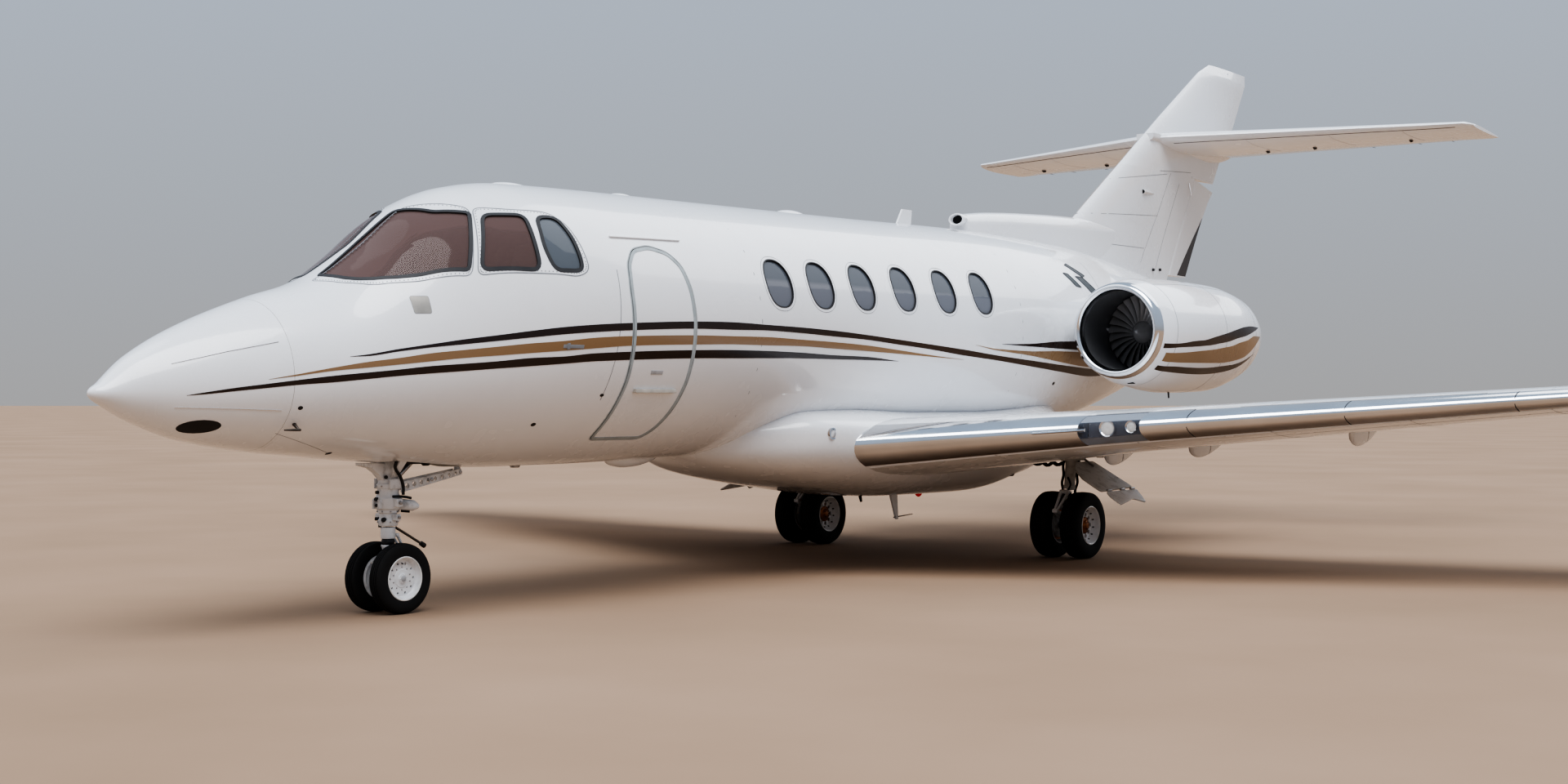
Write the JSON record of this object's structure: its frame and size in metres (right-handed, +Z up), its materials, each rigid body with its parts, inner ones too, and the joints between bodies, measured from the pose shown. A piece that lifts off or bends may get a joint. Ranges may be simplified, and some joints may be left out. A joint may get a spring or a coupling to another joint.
{
  "type": "business jet",
  "caption": "Low-wing business jet parked on its gear: hollow cabin and cockpit, folding airstair door, rear engines with turning fans, mid-fin tailplane, moving control surfaces.",
  "frame": {"origin": "on the ground under the middle of the aircraft's length and span", "axes": "+Z up, +X towards the aircraft's own left wing tip, +Y aft, the nose at -Y"},
  "size_m": [15.66, 15.6, 5.28],
  "materials": {
    "white_paint": "gloss enamel",
    "polished_metal": "polished",
    "cabin_shell": "gloss enamel with striping",
    "tinted_glass": "clear",
    "engine_metal": "heat dulled",
    "fan_metal": "satin",
    "gear_paint": "satin enamel",
    "tyre_rubber": "matt",
    "seat_leather": "soft grain",
    "interior_trim": "matt",
    "light_structure": "gloss enamel on composite"
  },
  "bodies": {
    "airframe": {"radome": "light_structure", "forward_fuselage": "cabin_shell", "cabin_fuselage": "cabin_shell", "tail_fuselage": "cabin_shell", "cockpit_glazing": "tinted_glass", "cabin_glazing_left": "tinted_glass", "cabin_glazing_right": "tinted_glass", "rear_bulkhead": "interior_trim", "cabin_floor": "interior_trim", "instrument_panel": "interior_trim", "pilot_seat_left": "seat_leather", "pilot_seat_right": "seat_leather", "cabin_seats_left": "seat_leather", "cabin_seats_right": "seat_leather", "belly_fairing": "light_structure", "wing_left": "white_paint", "wing_right": "white_paint", "wing_leading_edge_left": "polished_metal", "wing_leading_edge_right": "polished_metal", "dorsal_intake": "light_structure", "fin": "light_structure", "tailplane": "light_structure", "pylon_left": "light_structure", "pylon_right": "light_structure", "nacelle_left": "light_structure", "nacelle_right": "light_structure", "intake_lip_left": "polished_metal", "intake_lip_right": "polished_metal", "engine_core_left": "engine_metal", "engine_core_right": "engine_metal", "nose_leg": "gear_paint", "nose_wheel_bay": "gear_paint", "nose_gear_door_left": "white_paint", "nose_gear_door_right": "white_paint", "main_leg_left": "gear_paint", "main_leg_right": "gear_paint", "main_gear_door_left": "white_paint", "main_gear_door_right": "white_paint", "top_blade_antenna": "white_paint", "belly_blade_antenna": "white_paint"},
    "door": {"cabin_door": "cabin_shell"},
    "flap_port": {"flap_left": "white_paint"},
    "flap_starboard": {"flap_right": "white_paint"},
    "aileron_port": {"aileron_left": "light_structure"},
    "aileron_starboard": {"aileron_right": "light_structure"},
    "elevator_port": {"elevator_left": "light_structure"},
    "elevator_starboard": {"elevator_right": "light_structure"},
    "rudder_body": {"rudder": "light_structure"},
    "fan_port": {"fan_left": "fan_metal"},
    "fan_starboard": {"fan_right": "fan_metal"},
    "nose_steering": {"nose_steering_fork": "gear_paint"},
    "nose_wheels": {"nose_wheel_hubs": "gear_paint", "nose_tyre_left": "tyre_rubber", "nose_tyre_right": "tyre_rubber"},
    "main_wheels_port": {"main_wheel_hubs_left": "gear_paint", "main_tyre_inner_left": "tyre_rubber", "main_tyre_outer_left": "tyre_rubber"},
    "main_wheels_starboard": {"main_wheel_hubs_right": "gear_paint", "main_tyre_inner_right": "tyre_rubber", "main_tyre_outer_right": "tyre_rubber"}
  },
  "joints": [
    {"name": "cabin_door_hinge", "type": "hinge", "parent": "airframe", "child": "door", "pos_m": [0.556, -4.105, 1.094], "axis": [0, 1, 0], "range_deg": [0, 120]},
    {"name": "flap_left_hinge", "type": "hinge", "parent": "airframe", "child": "flap_port", "pos_m": [1.075, 1, 0.7891], "axis": [-0.992, -0.083, -0.0949], "range_deg": [0, 40]},
    {"name": "flap_right_hinge", "type": "hinge", "parent": "airframe", "child": "flap_starboard", "pos_m": [-1.075, 1, 0.7891], "axis": [-0.992, 0.083, 0.0949], "range_deg": [0, 40]},
    {"name": "aileron_left_hinge", "type": "hinge", "parent": "airframe", "child": "aileron_port", "pos_m": [4.72, 1.305, 1.29063], "axis": [0.9771, 0.1965, 0.0818], "range_deg": [-20, 20]},
    {"name": "aileron_right_hinge", "type": "hinge", "parent": "airframe", "child": "aileron_starboard", "pos_m": [-4.72, 1.305, 1.29063], "axis": [0.9771, -0.1965, -0.0818], "range_deg": [-20, 20]},
    {"name": "elevator_left_hinge", "type": "hinge", "parent": "airframe", "child": "elevator_port", "pos_m": [0.17, 6.53, 4.24632], "axis": [0.9702, 0.2416, 0.0158], "range_deg": [-15, 20]},
    {"name": "elevator_right_hinge", "type": "hinge", "parent": "airframe", "child": "elevator_starboard", "pos_m": [-0.17, 6.53, 4.24632], "axis": [0.9702, -0.2416, -0.0158], "range_deg": [-15, 20]},
    {"name": "rudder_hinge", "type": "hinge", "parent": "airframe", "child": "rudder_body", "pos_m": [0, 5.6, 2.76], "axis": [0, 0.5233, 0.8522], "range_deg": [-25, 25]},
    {"name": "fan_left_spin", "type": "hinge", "parent": "airframe", "child": "fan_port", "pos_m": [1.5, 2.1, 2], "axis": [0, 1, 0], "continuous": true},
    {"name": "fan_right_spin", "type": "hinge", "parent": "airframe", "child": "fan_starboard", "pos_m": [-1.5, 2.1, 2], "axis": [0, 1, 0], "continuous": true},
    {"name": "nose_steer", "type": "hinge", "parent": "airframe", "child": "nose_steering", "pos_m": [0, -5.64, 0.2275], "axis": [0, 0, 1], "range_deg": [-45, 45]},
    {"name": "nose_wheels_spin", "type": "hinge", "parent": "nose_steering", "child": "nose_wheels", "pos_m": [0, -5.64, 0.2275], "axis": [1, 0, 0], "continuous": true},
    {"name": "main_wheels_left_spin", "type": "hinge", "parent": "airframe", "child": "main_wheels_port", "pos_m": [1.395, 0.842, 0.2875], "axis": [1, 0, 0], "continuous": true},
    {"name": "main_wheels_right_spin", "type": "hinge", "parent": "airframe", "child": "main_wheels_starboard", "pos_m": [-1.395, 0.842, 0.2875], "axis": [1, 0, 0], "continuous": true}
  ],
  "couplings": [
    {"joint": "flap_right_hinge", "follows": "flap_left_hinge", "ratio": 1},
    {"joint": "aileron_right_hinge", "follows": "aileron_left_hinge", "ratio": -1},
    {"joint": "elevator_right_hinge", "follows": "elevator_left_hinge", "ratio": 1}
  ]
}
